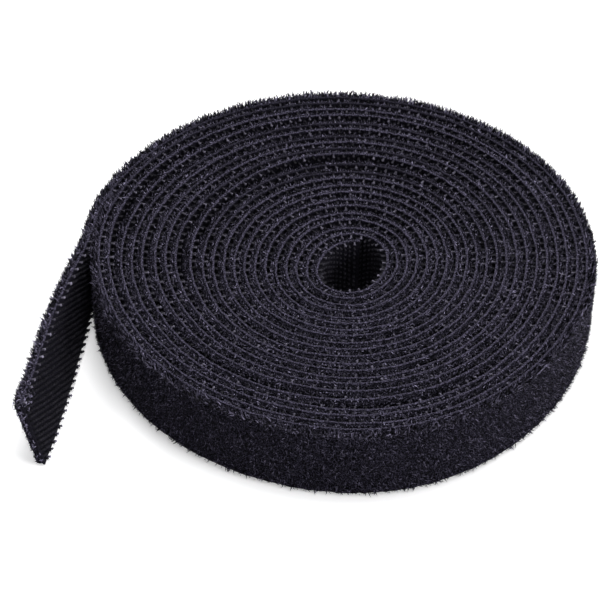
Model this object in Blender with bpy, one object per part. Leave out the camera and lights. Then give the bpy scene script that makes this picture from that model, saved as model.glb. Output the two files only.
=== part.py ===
"""A roll of black back-to-back hook and loop cable tie tape, lying on its edge, with its outer end hanging off.

The tape is one strip: a woven web with hooks on the face that looks into the roll and loop pile on the
face that looks out of it. It is wound on itself, with no core. Metres, +Z up, the origin under the middle.
"""

import math

import bmesh
import bpy
from mathutils import Vector

# The tape's own section
TAPE_WIDTH = 0.020
WEB_THICKNESS = 0.0005
HOOK_HEIGHT = 0.0004
PILE_HEIGHT = 0.00065
SELVAGE = 0.0007

# How the tape is wound, outwards and counter-clockwise as seen from above
CORE_RADIUS = 0.00762
TURN_SLACK = 0.00102
CORE_OFFSET = (0.00224, -0.00571)
CORE_DRIFT = (-0.00005, 0.00026)
CORE_OVAL = 0.00116
OVAL_FACES = math.radians(73)
FIRST_TURN = 0.208
LAST_TURN = 21.490
PAIRING = 0.00016
NEW_PAIR_TURN = 12

# Loose places: the first turn pushed out, the way it faces, half its spread, the push, turns until it fades
LOOSE_PLACES = [
    (11, math.radians(284), math.radians(45), 0.0008, 40),
    (12, math.radians(86), math.radians(64), 0.0009, 2),
    (12, math.radians(123), math.radians(117), 0.0011, 40),
    (13, math.radians(175), math.radians(47), 0.0012, 40),
    (16, math.radians(239), math.radians(135), 0.0011, 40),
    (17, math.radians(285), math.radians(45), 0.0012, 40),
    (18, math.radians(94), math.radians(132), 0.0006, 3),
    (19, math.radians(146), math.radians(71), 0.0014, 40),
]

# The inner end springs out a little against the turn round it
TIP_SPRING = 0.0005
TIP_SPREAD = 0.08

# The free outer end
TAIL_LENGTH = 0.0625
TAIL_TURN_OUT = math.radians(6.1)
TAIL_LEAN = math.radians(14)
LEAN_LENGTH = 0.040

# Facets
STATIONS_PER_TURN = 30
COARSE_UNTIL_TURN = 5
TAIL_STATIONS = 12

TAPE_THICKNESS = HOOK_HEIGHT + WEB_THICKNESS + PILE_HEIGHT
PITCH = TAPE_THICKNESS + TURN_SLACK


def loose_push(turn):
    """How far the loose places push the tape out at this turn count."""
    push = 0.0
    for first_turn, faces, spread, depth, fade in LOOSE_PLACES:
        nearest = round(turn - faces / math.tau)
        away = turn * math.tau - faces - nearest * math.tau
        if nearest >= first_turn and abs(away) < spread:
            left = max(0.0, 1 - (nearest - first_turn) / fade)
            push += depth * left * math.cos(math.pi / 2 * away / spread) ** 2
    return push


def pair_shift(turn):
    """Neighbouring turns lie in pairs at the back; the loose place starts a new count."""
    count = math.floor(turn) + (1 if turn < NEW_PAIR_TURN else 0)
    return PAIRING * math.sin(math.tau * turn) * (1 if count % 2 == 0 else -1)


def wound_point(turn):
    """The foot of the web at a turn count, measured from the middle of the outer turns."""
    angle = math.tau * turn
    radius = CORE_RADIUS + PITCH * turn
    radius += CORE_OVAL * math.cos(2 * (angle - OVAL_FACES))
    radius += loose_push(turn) + pair_shift(turn)
    radius += TIP_SPRING * max(0.0, 1 - (turn - FIRST_TURN) / TIP_SPREAD) ** 2
    centre = Vector((CORE_OFFSET[0] + CORE_DRIFT[0] * turn, CORE_OFFSET[1] + CORE_DRIFT[1] * turn))
    return centre + radius * Vector((math.cos(angle), math.sin(angle)))


def wound_turns():
    """Turn counts of the stations, on the same angles in every turn, so that neighbours stay parallel."""
    turns = [FIRST_TURN]
    station = math.ceil(FIRST_TURN * STATIONS_PER_TURN + 0.5)
    while station / STATIONS_PER_TURN < LAST_TURN:
        turns.append(station / STATIONS_PER_TURN)
        station += 1 if station >= COARSE_UNTIL_TURN * STATIONS_PER_TURN else 2
    turns.append(LAST_TURN)
    return turns


def tape_path():
    """Each station's foot on the floor and the tape's outward lean there."""
    feet = [wound_point(turn) for turn in wound_turns()]
    leans = [0.0] * len(feet)
    leaving = wound_point(LAST_TURN) - wound_point(LAST_TURN - 0.002)
    heading = math.atan2(leaving.y, leaving.x)
    step = TAIL_LENGTH / TAIL_STATIONS
    for station in range(TAIL_STATIONS):
        way = heading - TAIL_TURN_OUT * (station + 0.5) / TAIL_STATIONS
        feet.append(feet[-1] + step * Vector((math.cos(way), math.sin(way))))
        run = min(1.0, (station + 1) * step / LEAN_LENGTH)
        leans.append(TAIL_LEAN * math.sin(math.pi / 2 * run))
    return feet, leans


def tape_section():
    """The tape cut across, as (outwards from the web's middle, up from its foot)."""
    web = WEB_THICKNESS / 2
    hooks = -web - HOOK_HEIGHT
    pile = web + PILE_HEIGHT
    high = TAPE_WIDTH - SELVAGE
    return [
        (-web, 0), (web, 0), (pile, SELVAGE), (pile, high),
        (web, TAPE_WIDTH), (-web, TAPE_WIDTH), (hooks, high), (hooks, SELVAGE),
    ]


def tape_material():
    """Black nylon with a violet cast, dull all over."""
    material = bpy.data.materials.new("black_nylon_tape")
    material.use_nodes = True
    shader = material.node_tree.nodes["Principled BSDF"]
    shader.inputs["Base Color"].default_value = (0.022, 0.021, 0.028, 1)
    shader.inputs["Roughness"].default_value = 0.85
    shader.inputs["Metallic"].default_value = 0.0
    return material


def build_tape():
    """Carry the section along the path, cap both cut ends and set the origin under the middle."""
    feet, leans = tape_path()
    section = tape_section()
    bm = bmesh.new()
    rings = []
    for i, (foot, lean) in enumerate(zip(feet, leans)):
        along = feet[min(i + 1, len(feet) - 1)] - feet[max(i - 1, 0)]
        outward = Vector((along.y, -along.x)).normalized()
        lift = WEB_THICKNESS / 2 * math.sin(lean)
        ring = []
        for out, up in section:
            place = foot + outward * (out * math.cos(lean) + up * math.sin(lean))
            ring.append(bm.verts.new((place.x, place.y, up * math.cos(lean) - out * math.sin(lean) + lift)))
        rings.append(ring)
    for ring, following in zip(rings, rings[1:]):
        for j in range(len(section)):
            k = (j + 1) % len(section)
            bm.faces.new((ring[j], ring[k], following[k], following[j]))
    bm.faces.new(rings[0])
    bm.faces.new(rings[-1])
    bmesh.ops.recalc_face_normals(bm, faces=bm.faces)
    xs = [v.co.x for v in bm.verts]
    ys = [v.co.y for v in bm.verts]
    middle = Vector(((min(xs) + max(xs)) / 2, (min(ys) + max(ys)) / 2, 0))
    bmesh.ops.translate(bm, verts=bm.verts, vec=-middle)
    mesh = bpy.data.meshes.new("tape")
    bm.to_mesh(mesh)
    bm.free()
    mesh.shade_smooth()
    mesh.set_sharp_from_angle(angle=math.radians(30))
    mesh.materials.append(tape_material())
    tape = bpy.data.objects.new("tape", mesh)
    bpy.context.scene.collection.objects.link(tape)
    return tape


for old in list(bpy.data.objects):
    bpy.data.objects.remove(old, do_unlink=True)
build_tape()
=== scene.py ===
import math

import bmesh
import bpy
import numpy as np
from mathutils import Matrix, Vector


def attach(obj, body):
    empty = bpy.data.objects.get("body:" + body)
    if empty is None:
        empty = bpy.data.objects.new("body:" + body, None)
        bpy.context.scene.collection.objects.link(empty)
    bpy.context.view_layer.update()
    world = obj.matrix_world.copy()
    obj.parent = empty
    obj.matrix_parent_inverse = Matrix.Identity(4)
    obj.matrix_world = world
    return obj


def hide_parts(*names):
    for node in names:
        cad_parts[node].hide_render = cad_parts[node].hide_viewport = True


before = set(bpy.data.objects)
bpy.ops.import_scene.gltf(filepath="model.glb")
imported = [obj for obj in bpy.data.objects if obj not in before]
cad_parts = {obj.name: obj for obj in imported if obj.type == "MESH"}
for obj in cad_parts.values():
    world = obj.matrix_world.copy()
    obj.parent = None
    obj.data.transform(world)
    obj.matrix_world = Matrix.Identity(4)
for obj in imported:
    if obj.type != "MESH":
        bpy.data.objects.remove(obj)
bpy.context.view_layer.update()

# The camera looks down on the roll from the front, as one does on a roll lying on a table. Its place is
# measured from the roll's middle, because the free end at the left moves the middle of the whole box.
ROLL_MIDDLE = Vector((0.006739, 0.000294, 0.0))
CAMERA_PITCH = math.radians(41.46)
CAMERA_TILT = math.radians(1.05)
CAMERA_DISTANCE = 0.6702
AIM = Vector((-0.0101, 0.0035, 0.0))

camera = bpy.data.objects.new("camera", bpy.data.cameras.new("camera"))
bpy.context.scene.collection.objects.link(camera)
bpy.context.scene.camera = camera
camera.data.sensor_width = 36
camera.data.lens = 156
camera.data.clip_start = 0.01
camera.data.clip_end = 20
back_from_aim = CAMERA_DISTANCE * Vector((0, -math.cos(CAMERA_PITCH), math.sin(CAMERA_PITCH)))
camera.matrix_world = (
    Matrix.Translation(ROLL_MIDDLE + AIM + back_from_aim)
    @ Matrix.Rotation(math.pi / 2 - CAMERA_PITCH, 4, "X")
    @ Matrix.Rotation(CAMERA_TILT, 4, "Z")
)

# The winding. The tape is made flat and then wound, as in the factory. A flat point is measured along
# the tape from its inner end, out from the middle of the web and up from the lower edge. The turns lie as
# they do in the solid, with an even pitch, a drifting oval middle, pairs of turns and loose places.
TAPE_WIDTH = 0.020
WEB_THICKNESS = 0.00062
CORE_RADIUS = 0.00762
PITCH = 0.00257
CORE_OFFSET = (0.00224, -0.00571)
CORE_DRIFT = (-0.00005, 0.00026)
CORE_OVAL = 0.00116
OVAL_FACES = math.radians(73)
FIRST_TURN = 0.208
LAST_TURN = 21.490
PAIRING = 0.00016
NEW_PAIR_TURN = 12
# The first turn pushed out, the way it faces, half its spread, the push, turns until it fades
LOOSE_PLACES = [
    (11, math.radians(284), math.radians(45), 0.0008, 40),
    (12, math.radians(86), math.radians(64), 0.0009, 2),
    (12, math.radians(123), math.radians(117), 0.0011, 40),
    (13, math.radians(175), math.radians(47), 0.0012, 40),
    (16, math.radians(239), math.radians(135), 0.0011, 40),
    (17, math.radians(285), math.radians(45), 0.0012, 40),
    (18, math.radians(94), math.radians(132), 0.0006, 3),
    (19, math.radians(146), math.radians(71), 0.0014, 40),
]
TIP_SPRING = 0.0005
TIP_SPREAD = 0.08
TAIL_LENGTH = 0.0625
TAIL_TURN_OUT = math.radians(6.1)
TAIL_LEAN = math.radians(14)
LEAN_LENGTH = 0.040
WOUND_SAMPLES = 12000
TAIL_SAMPLES = 250
# The tape's edge wanders in slow waves, up and down and in and out
EDGE_RISE = 0.00008
RISE_WAVES = (0.0137, 0.0331)
EDGE_SWAY = 0.00004
SWAY_WAVES = (0.0061, 0.0023, 0.00089)
LEAST_HEIGHT = 0.00002
# Edges that turn more than this stay crisp
CRISP_FROM = math.radians(50)


def wound_feet(turns):
    """The foot of the web at each turn count."""
    angle = math.tau * turns
    radius = CORE_RADIUS + PITCH * turns + CORE_OVAL * np.cos(2 * (angle - OVAL_FACES))
    for first_turn, faces, spread, depth, fade in LOOSE_PLACES:
        nearest = np.round(turns - faces / math.tau)
        away = angle - faces - nearest * math.tau
        left = np.clip(1 - (nearest - first_turn) / fade, 0, None)
        pushed = (nearest >= first_turn) & (np.abs(away) < spread)
        radius = radius + np.where(pushed, depth * left * np.cos(math.pi / 2 * away / spread) ** 2, 0)
    count = np.floor(turns) + (turns < NEW_PAIR_TURN)
    radius = radius + PAIRING * np.sin(angle) * np.where(count % 2 == 0, 1, -1)
    radius = radius + TIP_SPRING * np.clip(1 - (turns - FIRST_TURN) / TIP_SPREAD, 0, None) ** 2
    x = ROLL_MIDDLE.x + CORE_OFFSET[0] + CORE_DRIFT[0] * turns + radius * np.cos(angle)
    y = ROLL_MIDDLE.y + CORE_OFFSET[1] + CORE_DRIFT[1] * turns + radius * np.sin(angle)
    return np.column_stack([x, y])


turns = np.linspace(FIRST_TURN, LAST_TURN, WOUND_SAMPLES)
wound = wound_feet(turns)
leaving = wound[-1] - wound[-2]
share = (np.arange(TAIL_SAMPLES) + 0.5) / TAIL_SAMPLES
way = math.atan2(leaving[1], leaving[0]) - TAIL_TURN_OUT * share
tail_steps = TAIL_LENGTH / TAIL_SAMPLES * np.column_stack([np.cos(way), np.sin(way)])
feet = np.vstack([wound, wound[-1] + np.cumsum(tail_steps, axis=0)])
run = np.concatenate([[0], np.cumsum(np.linalg.norm(np.diff(feet, axis=0), axis=1))])
TAPE_LENGTH = float(run[-1])
TAIL_START = TAPE_LENGTH - TAIL_LENGTH
along = np.gradient(feet, run, axis=0)
lean = TAIL_LEAN * np.sin(math.pi / 2 * np.clip((run - TAIL_START) / LEAN_LENGTH, 0, 1))


def wind(flat):
    """Flat points carried to their places on the roll. Nothing reaches below the surface it lies on."""
    s = np.clip(flat[:, 0], 0, TAPE_LENGTH)
    past = flat[:, 0] - s
    x, y, ax, ay, tip = (np.interp(s, run, values) for values in (*feet.T, *along.T, lean))
    length = np.hypot(ax, ay)
    ax, ay = ax / length, ay / length
    rise = EDGE_RISE * (2 + np.sin(s / RISE_WAVES[0] + 2) + np.sin(s / RISE_WAVES[1]))
    long_sway, short_sway, quiver = (s / wave for wave in SWAY_WAVES)
    sway = EDGE_SWAY * (np.sin(long_sway) + np.sin(short_sway + 1) + np.sin(quiver))
    out = (flat[:, 1] + sway) * np.cos(tip) + flat[:, 2] * np.sin(tip)
    up = flat[:, 2] * np.cos(tip) - flat[:, 1] * np.sin(tip) + WEB_THICKNESS / 2 * np.sin(tip) + rise
    up = np.clip(up, LEAST_HEIGHT, None)
    return np.column_stack([x + out * ay + past * ax, y - out * ax + past * ay, up])


def wound_piece(name, flat, faces, tone, material):
    """A piece from flat points and faces, wound. Each point keeps its flat place and its tone."""
    mesh = bpy.data.meshes.new(name)
    mesh.from_pydata(wind(flat).tolist(), [], [face[::-1] for face in faces])
    place = mesh.attributes.new("flat_place", "FLOAT_VECTOR", "POINT")
    place.data.foreach_set("vector", flat.astype(np.float32).ravel())
    shade = mesh.attributes.new("tone", "FLOAT", "POINT")
    shade.data.foreach_set("value", tone.astype(np.float32))
    mesh.shade_smooth()
    mesh.set_sharp_from_angle(angle=CRISP_FROM)
    mesh.materials.append(material)
    piece = bpy.data.objects.new(name, mesh)
    bpy.context.scene.collection.objects.link(piece)
    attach(piece, "root")
    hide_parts("tape")
    return piece


def taken_apart(bm):
    """A bmesh's points as an array and its faces as lists, and the bmesh freed."""
    bm.verts.index_update()
    points = np.array([vert.co[:] for vert in bm.verts])
    faces = [[vert.index for vert in face.verts] for face in bm.faces]
    bm.free()
    return points, faces


# The web is a woven nylon strip, the backbone of the tape. Its two selvages stand clear of the hooks
# and the pile as thin smooth edges, which look a lighter violet grey because no fuzz shades them.
# The web's faces between them are painted dark, as painted shade for the shadow of the hooks and pile.
WEB_STATIONS = 1800
INNER_CROWDING = 1.4
WEB_EDGE_ROUNDING = 0.00018
SELVAGE_SHOWN = 0.0004
SHADED_WEB_TONE = 0.1
# Turns whose edge is buried in the next turn's pile at the back, and how much painted shade darkens it
# there
BURIED_TURNS = (10, 11, 13, 15, 17, 20, 21)
BURIED_SHADE = 0.75
BACK_OF_TURN = 0.25

web_bm = bmesh.new()
bmesh.ops.create_cube(web_bm, size=1)
bmesh.ops.scale(web_bm, verts=web_bm.verts, vec=(TAPE_LENGTH, WEB_THICKNESS, TAPE_WIDTH))
bmesh.ops.translate(web_bm, verts=web_bm.verts, vec=(TAPE_LENGTH / 2, 0, TAPE_WIDTH / 2))


def lengthwise_edges(bm):
    """The edges that run along the tape before it is cut into stations."""
    return [edge for edge in bm.edges if abs(edge.verts[0].co.x - edge.verts[1].co.x) > 0.1]


def cut_level(bm, height):
    """A level row of edges all round a bmesh at this height."""
    whole = bm.verts[:] + bm.edges[:] + bm.faces[:]
    bmesh.ops.bisect_plane(bm, geom=whole, dist=1e-7, plane_co=(0, 0, height), plane_no=(0, 0, 1))


bmesh.ops.bevel(
    web_bm, geom=lengthwise_edges(web_bm), offset=WEB_EDGE_ROUNDING, segments=2, profile=0.5,
    affect="EDGES", material=-1,
)
for height in (SELVAGE_SHOWN, TAPE_WIDTH - SELVAGE_SHOWN):
    cut_level(web_bm, height)
bmesh.ops.subdivide_edges(web_bm, edges=lengthwise_edges(web_bm), cuts=WEB_STATIONS, use_grid_fill=True)
bmesh.ops.triangulate(web_bm, faces=[face for face in web_bm.faces if len(face.verts) > 4])
web_points, web_faces = taken_apart(web_bm)


def crowded(x, end):
    """Stations moved closer together towards the tight inner turns."""
    return end * np.clip(x / end, 0, 1) ** INNER_CROWDING


web_points[:, 0] = crowded(web_points[:, 0], TAPE_LENGTH)


def nylon_grain_group():
    """Grain for nylon: the tone each point carries, with its painted light and shade, and a fine noise
    give a colour and a height.
    """
    group = bpy.data.node_groups.new("nylon_grain", "ShaderNodeTree")
    for name, kind in (
        ("Grains per Metre", "NodeSocketVector"),
        ("Darkest Noise", "NodeSocketFloat"),
        ("Lightest Noise", "NodeSocketFloat"),
        ("Dark", "NodeSocketColor"),
        ("Light", "NodeSocketColor"),
    ):
        group.interface.new_socket(name, in_out="INPUT", socket_type=kind)
    group.interface.new_socket("Color", in_out="OUTPUT", socket_type="NodeSocketColor")
    group.interface.new_socket("Height", in_out="OUTPUT", socket_type="NodeSocketFloat")
    nodes, links = group.nodes, group.links
    given = nodes.new("NodeGroupInput")
    result = nodes.new("NodeGroupOutput")
    tone = nodes.new("ShaderNodeAttribute")
    tone.attribute_name = "tone"
    place = nodes.new("ShaderNodeAttribute")
    place.attribute_name = "flat_place"
    noise = nodes.new("ShaderNodeTexNoise")
    noise.inputs["Scale"].default_value = 1
    noise.inputs["Detail"].default_value = 3
    noise.inputs["Roughness"].default_value = 0.7
    stretched = nodes.new("ShaderNodeVectorMath")
    stretched.operation = "MULTIPLY"
    links.new(place.outputs["Vector"], stretched.inputs[0])
    links.new(given.outputs["Grains per Metre"], stretched.inputs[1])
    links.new(stretched.outputs["Vector"], noise.inputs["Vector"])
    spread = nodes.new("ShaderNodeMapRange")
    links.new(noise.outputs["Fac"], spread.inputs["Value"])
    links.new(given.outputs["Darkest Noise"], spread.inputs["From Min"])
    links.new(given.outputs["Lightest Noise"], spread.inputs["From Max"])
    both = nodes.new("ShaderNodeMath")
    both.operation = "MULTIPLY"
    links.new(tone.outputs["Fac"], both.inputs[0])
    links.new(spread.outputs["Result"], both.inputs[1])
    colour = nodes.new("ShaderNodeMix")
    colour.data_type = "RGBA"
    links.new(both.outputs["Value"], colour.inputs["Factor"])
    links.new(given.outputs["Dark"], colour.inputs["A"])
    links.new(given.outputs["Light"], colour.inputs["B"])
    links.new(colour.outputs["Result"], result.inputs["Color"])
    links.new(noise.outputs["Fac"], result.inputs["Height"])
    return group


nylon_grain = nylon_grain_group()


def nylon(name, dark, light, grain_size, noise_range, bump, roughness, specular):
    """Black nylon with a violet cast. Its grain has a size along the tape, through it and up it."""
    material = bpy.data.materials.new(name)
    material.use_nodes = True
    nodes, links = material.node_tree.nodes, material.node_tree.links
    shader = nodes["Principled BSDF"]
    shader.inputs["Roughness"].default_value = roughness
    shader.inputs["Specular IOR Level"].default_value = specular
    grain = nodes.new("ShaderNodeGroup")
    grain.node_tree = nylon_grain
    grain.inputs["Grains per Metre"].default_value = [1 / size for size in grain_size]
    grain.inputs["Darkest Noise"].default_value = noise_range[0]
    grain.inputs["Lightest Noise"].default_value = noise_range[1]
    grain.inputs["Dark"].default_value = (*dark, 1)
    grain.inputs["Light"].default_value = (*light, 1)
    links.new(grain.outputs["Color"], shader.inputs["Base Color"])
    raised = nodes.new("ShaderNodeBump")
    raised.inputs["Distance"].default_value = bump
    links.new(grain.outputs["Height"], raised.inputs["Height"])
    links.new(raised.outputs["Normal"], shader.inputs["Normal"])
    return material


web_nylon = nylon(
    "web_nylon", (0.006, 0.0055, 0.009), (0.135, 0.123, 0.19), grain_size=(0.0004, 0.0004, 0.0004),
    noise_range=(0.46, 0.67), bump=0.0003, roughness=0.75, specular=0.04,
)
from_edge = np.minimum(web_points[:, 2], TAPE_WIDTH - web_points[:, 2])
web_turn = np.interp(web_points[:, 0], run[:WOUND_SAMPLES], turns) - BACK_OF_TURN
# Painted shade on the selvages of these turns, strongest at the back of the roll
shade_at_back = np.isin(np.round(web_turn), BURIED_TURNS) * np.clip(np.cos(math.tau * web_turn), 0, 1)
clear_of_pile = from_edge < SELVAGE_SHOWN * 0.9
# Selvages keep their full tone, less the painted shade where buried at the back; the faces get painted
# shade
web_tone = np.where(clear_of_pile, 1 - BURIED_SHADE * shade_at_back, SHADED_WEB_TONE)
web = wound_piece("web", web_points, web_faces, web_tone, web_nylon)

# The hooks are moulded nylon palm-tree hooks in staggered rows, on the face of the web that looks into
# the roll. On the free end and in the eye the whole field shows, and between the turns only the rows by
# the edges.
HOOK_PITCH = 0.0027
ROW_PITCH = 0.00076
FIRST_ROW = 0.0005
HOOK_ROWS = 26
HOOK_HEIGHT = 0.00108
STEM_FOOT = 0.00024
STEM_NECK = 0.00012
ARM_REACH = 0.00043
ARM_DROP = 0.00028
HOOK_DEPTH = 0.00040
HEAD_LEAN = 0.07
SIDE_LEAN = 0.12
HOOK_SIZES = (0.9, 1.08)
# Painted shade at a hook's foot; its tone grows to full at the head as painted light
HOOK_FOOT_SHADE_TONE = 0.25
CLEAR_OF_CUT = 0.0008
EYE_LENGTH = 0.075
TAIL_SHOWN = 0.085
UPPER_ROWS = 2
LOWER_ROWS = 1

random = np.random.default_rng(7)


def palm_hook():
    """One hook standing on +Z: a stem and two drooping arms, cut as a flat outline and extruded."""
    neck = HOOK_HEIGHT - ARM_DROP
    outline = [
        (-STEM_FOOT, 0), (-STEM_NECK, neck), (-ARM_REACH, neck), (0, HOOK_HEIGHT), (ARM_REACH, neck),
        (STEM_NECK, neck), (STEM_FOOT, 0),
    ]
    bm = bmesh.new()
    side = bm.faces.new([bm.verts.new((x, -HOOK_DEPTH / 2, z)) for x, z in outline])
    made = bmesh.ops.extrude_face_region(bm, geom=[side])["geom"]
    other_side = [vert for vert in made if isinstance(vert, bmesh.types.BMVert)]
    bmesh.ops.translate(bm, verts=other_side, vec=(0, HOOK_DEPTH, 0))
    bmesh.ops.recalc_face_normals(bm, faces=bm.faces)
    return taken_apart(bm)


def strewn(shape, places, heads, sides, sizes):
    """Copies of one small shape, each with its foot at a place, +Z along a head and +X by a side."""
    points, faces = shape
    heads = heads / np.linalg.norm(heads, axis=1)[:, None]
    sides = sides - heads * np.sum(sides * heads, axis=1)[:, None]
    sides = sides / np.linalg.norm(sides, axis=1)[:, None]
    axes = np.stack([sides, np.cross(heads, sides), heads], axis=1)
    copies = places[:, None, :] + sizes[:, None, None] * np.einsum("pk,nkc->npc", points, axes)
    starts = (np.arange(len(places)) * len(points)).tolist()
    return copies.reshape(-1, 3), [[i + start for i in face] for start in starts for face in faces]


def hook_places(start, end, rows):
    """Where hooks stand in these rows of this stretch. Every other row is shifted by half a pitch."""
    spots = []
    for row in rows:
        shift = row % 2 / 2
        steps = np.arange(math.ceil(start / HOOK_PITCH - shift), int(end / HOOK_PITCH - shift) + 1)
        height = np.full(len(steps), FIRST_ROW + row * ROW_PITCH)
        out = np.full(len(steps), -WEB_THICKNESS / 2)
        spots.append(np.column_stack([(steps + shift) * HOOK_PITCH, out, height]))
    return np.vstack(spots)


def hooks(name, places, least_painted_shine, most_painted_shine, deep_painted_shade):
    """Hooks at these places. Heads by an edge are painted lighter as painted light; those deep in the
    field and all feet get painted shade.
    """
    shape = palm_hook()
    count = len(places)
    heads = np.array([0, -1, 0]) + random.normal(0, HEAD_LEAN, (count, 3))
    sides = np.array([1, 0, 0]) + random.normal(0, SIDE_LEAN, (count, 3))
    flat, faces = strewn(shape, places, heads, sides, random.uniform(*HOOK_SIZES, count))
    from_edge = np.minimum(places[:, 2], TAPE_WIDTH - places[:, 2])
    # Painted light on the rows by an edge and on the heads, painted shade deep in the field and at the
    # feet
    painted_shine = least_painted_shine + (most_painted_shine - least_painted_shine) * random.uniform(0, 1, count) ** 2
    painted_shine = np.where(from_edge < ROW_PITCH, painted_shine, deep_painted_shade)
    painted_lighting = HOOK_FOOT_SHADE_TONE + (1 - HOOK_FOOT_SHADE_TONE) * (shape[0][:, 2] / HOOK_HEIGHT) ** 2
    tone = np.clip(np.outer(painted_shine, painted_lighting).ravel(), 0, 1)
    return wound_piece(name, flat, faces, tone, hook_nylon)


# Its light colour is painted light, for the heads that catch the lamps and their glints
hook_nylon = nylon(
    "hook_nylon", (0.003, 0.003, 0.004), (0.45, 0.42, 0.56), grain_size=(0.001, 0.001, 0.001),
    noise_range=(0.2, 0.6), bump=0.00004, roughness=0.5, specular=0.05,
)
every_row = range(HOOK_ROWS)
tail_shown_from = TAPE_LENGTH - TAIL_SHOWN
eye_hooks = hooks(
    "hooks_in_eye", hook_places(CLEAR_OF_CUT, EYE_LENGTH, every_row),
    least_painted_shine=0.05, most_painted_shine=0.9, deep_painted_shade=0.09,
)
end_hooks = hooks(
    "hooks_free_end", hook_places(tail_shown_from, TAPE_LENGTH - CLEAR_OF_CUT, every_row),
    least_painted_shine=0.2, most_painted_shine=1.0, deep_painted_shade=0.045,
)
upper_hooks = hooks(
    "hooks_upper_edge", hook_places(EYE_LENGTH, tail_shown_from, every_row[-UPPER_ROWS:]),
    least_painted_shine=0.02, most_painted_shine=0.5, deep_painted_shade=0.05,
)
lower_hooks = hooks(
    "hooks_lower_edge", hook_places(EYE_LENGTH, tail_shown_from, every_row[:LOWER_ROWS]),
    least_painted_shine=0.02, most_painted_shine=0.25, deep_painted_shade=0.05,
)

# The pile is brushed nylon loops on the face that looks out. Between the turns it fills the room up to
# the next turn's hooks, which sink into it a little. On the outermost turn and the free end it stands
# free.
HOOKS_SINK = 0.1
LEAST_LOFT = 0.0008
MOST_LOFT = 0.0013
WALL_LOFT = 0.0017
TAIL_LOFT = 0.0014
PILE_MARGIN = 0.0004
PILE_ROUNDING = 0.0004
PILE_STATIONS = 1800
PILE_ROWS = 4
CLOSED_ROOM = 0.0002
DEEP_SHARE = 0.35
# Painted shade for the pile deep between the turns, round the swallowed hooks
DEEP_PILE_SHADE_TONE = 0.15
SMOOTHED_SAMPLES = 121
# The outermost turn and the free end, a little more than one turn long, have a finer piece of their own
WALL_RADIUS = 0.0635
WALL_TURNS = 1.03
WALL_LENGTH = math.tau * WALL_RADIUS * WALL_TURNS + TAIL_LENGTH
WALL_STATION = 0.0009
WALL_ROWS = 28
FLAT_LOFT = 0.001

room = np.linalg.norm(wound_feet(turns + 1) - wound, axis=1) - WEB_THICKNESS
room_left = np.clip(room - HOOK_HEIGHT * (1 - HOOKS_SINK), LEAST_LOFT, MOST_LOFT)
loft = np.where(turns > LAST_TURN - 1, WALL_LOFT, room_left)
loft = np.concatenate([loft, np.full(TAIL_SAMPLES, TAIL_LOFT)])
padded_loft = np.pad(loft, SMOOTHED_SAMPLES // 2, mode="edge")
loft = np.convolve(padded_loft, np.ones(SMOOTHED_SAMPLES) / SMOOTHED_SAMPLES, mode="valid")


def loft_at(s):
    """How far the pile stands off the web at each run along the tape."""
    return np.interp(s, run, loft)


def pile_body(name, start, end, cuts, rows, lump, least_tone):
    """The thick of the pile: a lumpy layer on the web's outer face, its long edges rounded over.
    Between the turns it swallows the next turn's hooks, all but the rows by the edges."""
    high = TAPE_WIDTH - 2 * PILE_MARGIN
    bm = bmesh.new()
    bmesh.ops.create_cube(bm, size=1)
    bmesh.ops.scale(bm, verts=bm.verts, vec=(end - start, FLAT_LOFT, high))
    bmesh.ops.translate(bm, verts=bm.verts, vec=((start + end) / 2, FLAT_LOFT / 2, TAPE_WIDTH / 2))
    outer = [edge for edge in lengthwise_edges(bm) if edge.verts[0].co.y > FLAT_LOFT / 2]
    bmesh.ops.bevel(
        bm, geom=outer, offset=PILE_ROUNDING, segments=2, profile=0.5, affect="EDGES", material=-1
    )
    bmesh.ops.subdivide_edges(bm, edges=lengthwise_edges(bm), cuts=cuts, use_grid_fill=True)
    upright = [edge for edge in bm.edges if abs(edge.verts[0].co.z - edge.verts[1].co.z) > high / 2]
    bmesh.ops.subdivide_edges(bm, edges=upright, cuts=rows, use_grid_fill=True)
    bmesh.ops.triangulate(bm, faces=[face for face in bm.faces if len(face.verts) > 4])
    points, faces = taken_apart(bm)
    if start == 0:
        points[:, 0] = crowded(points[:, 0], end)
    standing = points[:, 1] / FLAT_LOFT
    deep = np.abs(points[:, 2] - TAPE_WIDTH / 2) < TAPE_WIDTH * DEEP_SHARE
    swallowing = deep & (points[:, 0] < wall_start)
    reach = np.where(swallowing, np.interp(points[:, 0], run[:len(room)], room), loft_at(points[:, 0]))
    points[:, 1] = WEB_THICKNESS / 2 + standing * (reach + CLOSED_ROOM * swallowing)
    points[:, 1] += standing * random.normal(0, lump, len(points))
    points[:, 2] += standing * random.normal(0, lump, len(points))
    # Painted shade deep between the turns; elsewhere the tone differs at random
    tone = np.where(swallowing, DEEP_PILE_SHADE_TONE, random.uniform(least_tone, 1.0, len(points)))
    return wound_piece(name, points, faces, tone, pile_nylon)


# Its near-black body is partly the black nylon's own colour and partly painted shade for the shadow among
# the fibres
pile_nylon = nylon(
    "pile_nylon", (0.001, 0.001, 0.0015), (0.11, 0.1, 0.157), grain_size=(0.0003, 0.0003, 0.0003),
    noise_range=(0.5, 0.68), bump=0.0005, roughness=0.95, specular=0.02,
)
wall_start = TAPE_LENGTH - WALL_LENGTH
wall_cuts = int(WALL_LENGTH / WALL_STATION)
inner_pile = pile_body(
    "pile_inner_turns", 0, wall_start, PILE_STATIONS, PILE_ROWS, lump=0.0001, least_tone=0.0
)
wall_pile = pile_body(
    "pile_outer_turn", wall_start, TAPE_LENGTH, wall_cuts, WALL_ROWS, lump=0.00007, least_tone=0.65
)

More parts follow.
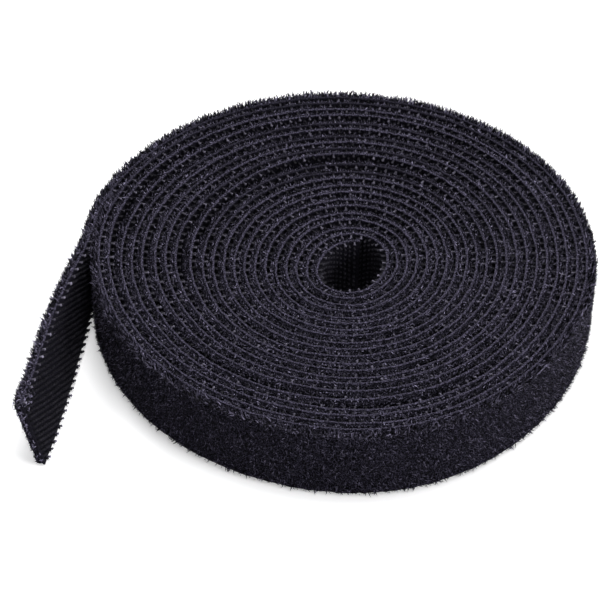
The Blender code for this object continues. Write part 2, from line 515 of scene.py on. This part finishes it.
# Fibres and loops of the pile stand out of its thick as a fuzz: along the upper and lower edges of
# every turn, all over the outermost turn, in tufts along its rim and its foot, and as curls on the free
# end and its cut. There are tens of thousands, so each has only a few faces.
EDGE_BAND = 0.0004
FIBRE_LENGTH = 0.001
FIBRE_FOOT = 0.00013
FIBRE_BEND = 0.45
BENDS_FROM = 0.4
THREAD_RADIUS = 0.00006
LOOP_RADIUS = 0.0004
LOOP_BENDS = 4
# The higher this is, the fewer fibres carry a painted highlight
DARK_MAJORITY = 3.5
# Fibres on the free end keep this share of their tone, as painted shade
TAIL_SHADE = 0.9
INNER_EDGE_FIBRES = 40000
OUTER_EDGE_FIBRES = 44000
CROSSING_FUZZ = 0.00105
CROSSING_FACES = -1.2
SHADED_BY_DEPTH = 0.0016
LOWER_EDGE_FIBRES = 4600
WALL_FIBRES = 34000
LONG_SHARE = 0.05
LONG_SIZE = 1.4
WALL_LOOPS = 1200
# Tufts stand one pitch apart, and their fibres are shorter away from the tuft's middle
TUFT_PITCH = 0.0010
FIBRES_PER_TUFT = 13
TUFT_SPREAD = 0.00025
TUFT_RADIUS = 0.0006
TAIL_CURLS = 1500
CORNER_CURLS = 550
CUT_CURLS = 350
FOOT_FIBRES = 750


def fibre_cone():
    """A fibre's bmesh, standing on +Z and drawn to a point."""
    bm = bmesh.new()
    bmesh.ops.create_cone(
        bm, cap_ends=True, segments=3, radius1=FIBRE_FOOT, radius2=0, depth=FIBRE_LENGTH
    )
    bmesh.ops.translate(bm, verts=bm.verts, vec=(0, 0, FIBRE_LENGTH / 2))
    return bm


def straight_fibre():
    """A broken fibre end."""
    return taken_apart(fibre_cone())


def bent_fibre():
    """A fibre that bends over to +X at half its height."""
    bm = fibre_cone()
    cut_level(bm, FIBRE_LENGTH / 2)
    for vert in bm.verts:
        vert.co.x += FIBRE_BEND * FIBRE_LENGTH * max(0.0, vert.co.z / FIBRE_LENGTH - BENDS_FROM)
    return taken_apart(bm)


def pile_loop():
    """A loop in the XZ plane, both feet at the bottom: a thin thread bent round half a circle."""
    length = math.pi * LOOP_RADIUS
    bm = bmesh.new()
    bmesh.ops.create_cone(
        bm, cap_ends=True, segments=3, radius1=THREAD_RADIUS, radius2=THREAD_RADIUS, depth=length
    )
    for bend in range(1, LOOP_BENDS):
        cut_level(bm, (bend / LOOP_BENDS - 0.5) * length)
    for vert in bm.verts:
        turn = math.pi / 2 + vert.co.z / LOOP_RADIUS
        reach = LOOP_RADIUS + vert.co.x
        vert.co = (reach * math.cos(turn), vert.co.y, reach * math.sin(turn))
    bmesh.ops.recalc_face_normals(bm, faces=bm.faces)
    return taken_apart(bm)


# Its light colour is a painted highlight, which only the few light fibres take on
fibre_nylon = nylon(
    "fibre_nylon", (0.0015, 0.0015, 0.002), (0.68, 0.625, 0.92), grain_size=(0.001, 0.001, 0.001),
    noise_range=(0.2, 0.6), bump=0.00002, roughness=0.55, specular=0.05,
)


def fuzz(name, shape, places, main_way, spread, sizes, brightest=1.0):
    """Fibres or loops strewn about a main way. Most are dark and a few carry a painted highlight."""
    count = len(places)
    heads = np.array(main_way) + random.normal(0, spread, (count, 3))
    flat, faces = strewn(shape, places, heads, random.normal(0, 1, (count, 3)), sizes)
    # Painted shade on the free end, and painted highlights on the few light fibres
    on_tail = np.where(places[:, 0] > TAIL_START, TAIL_SHADE, 1.0)
    painted_shine = on_tail * brightest * random.uniform(0, 1, count) ** DARK_MAJORITY
    tone = np.repeat(painted_shine, len(shape[0]))
    return wound_piece(name, flat, faces, tone, fibre_nylon)


def feet_over(count, start, end, out, up):
    """Random feet on a stretch of the tape, between two shares of the loft and two heights."""
    s = random.uniform(start, end, count)
    out_of_web = WEB_THICKNESS / 2 + random.uniform(*out, count) * loft_at(s)
    return np.column_stack([s, out_of_web, random.uniform(*up, count)])


pile_top = TAPE_WIDTH - PILE_MARGIN
half_way = TAPE_LENGTH / 2
whole_wall = (PILE_MARGIN, pile_top)


def upper_edge_fuzz(name, count, start, end):
    """The fuzz on the upper edge. At the right and the front of the roll it crosses over the hooks."""
    band = (pile_top - EDGE_BAND, pile_top + 0.0001)
    places = feet_over(count, start, end, out=(-0.25, 1.1), up=band)
    angle = math.tau * np.interp(places[:, 0], run[:WOUND_SAMPLES], turns)
    wound_in = places[:, 0] < TAIL_START
    crossing = CROSSING_FUZZ * (0.5 + 0.5 * np.cos(angle - CROSSING_FACES)) * wound_in
    places[:, 1] += crossing * random.uniform(0, 1, count)
    # Fibres farther out from the web, down towards the next turn, get painted shade
    painted_lighting = np.clip(1.3 - places[:, 1] / SHADED_BY_DEPTH, 0.4, 1)
    return fuzz(
        name, straight_fibre(), places,
        main_way=(0, 0.1, 1), spread=0.8, sizes=random.uniform(0.4, 0.9, count), brightest=painted_lighting,
    )


inner_fuzz = upper_edge_fuzz("fuzz_upper_edge_inner_half", INNER_EDGE_FIBRES, 0, half_way)
outer_fuzz = upper_edge_fuzz("fuzz_upper_edge_outer_half", OUTER_EDGE_FIBRES, half_way, TAPE_LENGTH)
lower_fuzz = fuzz(
    "fuzz_lower_edge", straight_fibre(),
    feet_over(
        LOWER_EDGE_FIBRES, 0, TAPE_LENGTH,
        out=(0.05, 1.1), up=(PILE_MARGIN, PILE_MARGIN + EDGE_BAND),
    ),
    main_way=(0, 0.1, -1), spread=0.5, sizes=random.uniform(0.5, 1.0, LOWER_EDGE_FIBRES),
)
wall_sizes = random.uniform(0.45, 1.0, WALL_FIBRES)
wall_sizes[random.uniform(0, 1, WALL_FIBRES) < LONG_SHARE] *= LONG_SIZE
wall_fibres = fuzz(
    "fuzz_outer_turn", straight_fibre(),
    feet_over(WALL_FIBRES, wall_start, TAPE_LENGTH, out=(0.92, 1.05), up=whole_wall),
    main_way=(0.3, 0.9, -0.1), spread=0.8, sizes=wall_sizes, brightest=0.4,
)
wall_loops = fuzz(
    "loops_outer_turn", pile_loop(),
    feet_over(WALL_LOOPS, wall_start, TAPE_LENGTH, out=(0.85, 1.0), up=whole_wall),
    main_way=(0, 1, 0), spread=0.6, sizes=random.uniform(0.6, 1.1, WALL_LOOPS), brightest=0.5,
)
tuft_of = np.repeat(np.arange(int(WALL_LENGTH / TUFT_PITCH)), FIBRES_PER_TUFT)
tuft_fibres = len(tuft_of)
off_tuft = random.normal(0, TUFT_SPREAD, tuft_fibres)
tuft_feet = feet_over(tuft_fibres, 0, 1, out=(0, 1), up=(pile_top - EDGE_BAND, pile_top))
tuft_feet[:, 0] = wall_start + tuft_of * TUFT_PITCH + off_tuft
tuft_feet[:, 1] = WEB_THICKNESS / 2 + random.uniform(0.1, 1.1, tuft_fibres) * loft_at(tuft_feet[:, 0])
tuft_sizes = random.uniform(1.2, 2.1, tuft_fibres) * np.exp(-(off_tuft / TUFT_RADIUS) ** 2)
rim_tufts = fuzz(
    "tufts_rim", bent_fibre(), tuft_feet,
    main_way=(0, 0.35, 1), spread=0.3, sizes=tuft_sizes, brightest=0.5,
)
tail_curls = fuzz(
    "curls_free_end", pile_loop(),
    feet_over(
        TAIL_CURLS, TAIL_START - 0.01, TAPE_LENGTH + 0.0004,
        out=(-0.2, 1.1), up=(TAPE_WIDTH * 0.7, TAPE_WIDTH),
    ),
    main_way=(0, 0.6, 1), spread=0.7, sizes=random.uniform(0.6, 1.6, TAIL_CURLS), brightest=1.1,
)
frayed_feet = np.concatenate([
    feet_over(
        CORNER_CURLS, TAPE_LENGTH - 0.008, TAPE_LENGTH,
        out=(-0.7, 1.3), up=(TAPE_WIDTH * 0.8, TAPE_WIDTH),
    ),
    feet_over(
        CUT_CURLS, TAPE_LENGTH - 0.0015, TAPE_LENGTH,
        out=(0, 1.0), up=(PILE_MARGIN, TAPE_WIDTH * 0.9),
    ),
])
frayed_end = fuzz(
    "frayed_end", pile_loop(), frayed_feet,
    main_way=(0.6, 0, 0.3), spread=0.8, sizes=random.uniform(0.6, 1.5, len(frayed_feet)), brightest=0.9,
)
foot_tufts = fuzz(
    "tufts_foot", bent_fibre(),
    feet_over(
        FOOT_FIBRES, wall_start, TAPE_LENGTH,
        out=(0.4, 0.8), up=(PILE_MARGIN, PILE_MARGIN + 2 * EDGE_BAND),
    ),
    main_way=(0.2, 1, 0), spread=0.35, sizes=random.uniform(1.2, 2.0, FOOT_FIBRES), brightest=0.4,
)

# The floor is plain and white, and keeps the roll's soft shadow. Far from the roll, where the lamps
# fade, it glows more, so that it stays white out to its rim. Soft boxes hang above, at the right and at
# the back.
FLOOR_SIZE = 6.0
FLOOR_DROP = 0.00002
FLOOR_COLOUR = (0.9, 0.9, 0.91, 1)
FLOOR_GLOW = 0.40
GLOW_GROWS_FROM = 0.25
GLOW_FULL_AT = 1.0
ROOM_LIGHT = 0.30


def background_rays(nodes, links):
    """One for rays that show the background: from the camera, mirrored or let through. Else nought."""
    rays = nodes.new("ShaderNodeLightPath")
    mirrored = nodes.new("ShaderNodeMath")
    mirrored.operation = "ADD"
    links.new(rays.outputs["Is Camera Ray"], mirrored.inputs[0])
    links.new(rays.outputs["Is Glossy Ray"], mirrored.inputs[1])
    any_of_them = nodes.new("ShaderNodeMath")
    any_of_them.operation = "ADD"
    any_of_them.use_clamp = True
    links.new(mirrored.outputs["Value"], any_of_them.inputs[0])
    links.new(rays.outputs["Is Transmission Ray"], any_of_them.inputs[1])
    return any_of_them.outputs["Value"]


floor_bm = bmesh.new()
bmesh.ops.create_grid(floor_bm, x_segments=1, y_segments=1, size=FLOOR_SIZE / 2)
bmesh.ops.translate(floor_bm, verts=floor_bm.verts, vec=(0, 0, -FLOOR_DROP))
floor_mesh = bpy.data.meshes.new("floor")
floor_bm.to_mesh(floor_mesh)
floor_bm.free()
floor = bpy.data.objects.new("floor", floor_mesh)
bpy.context.scene.collection.objects.link(floor)
white = bpy.data.materials.new("white_floor")
white.use_nodes = True
nodes, links = white.node_tree.nodes, white.node_tree.links
shader = nodes["Principled BSDF"]
shader.inputs["Base Color"].default_value = FLOOR_COLOUR
shader.inputs["Roughness"].default_value = 1.0
shader.inputs["Specular IOR Level"].default_value = 0.0
shader.inputs["Emission Color"].default_value = (1, 1, 1, 1)
place = nodes.new("ShaderNodeTexCoord")
away = nodes.new("ShaderNodeVectorMath")
away.operation = "LENGTH"
links.new(place.outputs["Object"], away.inputs[0])
growing = nodes.new("ShaderNodeMapRange")
growing.inputs["From Min"].default_value = GLOW_GROWS_FROM
growing.inputs["From Max"].default_value = GLOW_FULL_AT
growing.inputs["To Min"].default_value = FLOOR_GLOW
links.new(away.outputs["Value"], growing.inputs["Value"])
glow = nodes.new("ShaderNodeMath")
glow.operation = "MULTIPLY"
links.new(background_rays(nodes, links), glow.inputs[0])
links.new(growing.outputs["Result"], glow.inputs[1])
links.new(glow.outputs["Value"], shader.inputs["Emission Strength"])
floor_mesh.materials.append(white)

world = bpy.data.worlds.new("studio")
bpy.context.scene.world = world
world.use_nodes = True
nodes, links = world.node_tree.nodes, world.node_tree.links
sky = nodes["Background"]
sky.inputs["Color"].default_value = (1, 1, 1, 1)
level = nodes.new("ShaderNodeMapRange")
level.inputs["To Min"].default_value = ROOM_LIGHT
level.inputs["To Max"].default_value = 1.0
links.new(background_rays(nodes, links), level.inputs["Value"])
links.new(level.outputs["Result"], sky.inputs["Strength"])


def soft_box(name, place, size, power):
    """A square lamp that faces the roll's middle."""
    lamp = bpy.data.objects.new(name, bpy.data.lights.new(name, "AREA"))
    lamp.data.shape = "SQUARE"
    lamp.data.size = size
    lamp.data.energy = power
    bpy.context.scene.collection.objects.link(lamp)
    place = Vector(place)
    facing = (-place).to_track_quat("-Z", "Y").to_matrix().to_4x4()
    lamp.matrix_world = Matrix.Translation(place) @ facing


soft_box("box_above", (0.1, 0.15, 1.0), 0.6, 10.0)
soft_box("box_right", (0.9, -0.5, 0.5), 0.4, 6.0)
soft_box("box_back", (-0.5, 0.9, 0.7), 0.25, 4.0)

bpy.context.scene.view_settings.view_transform = "Standard"
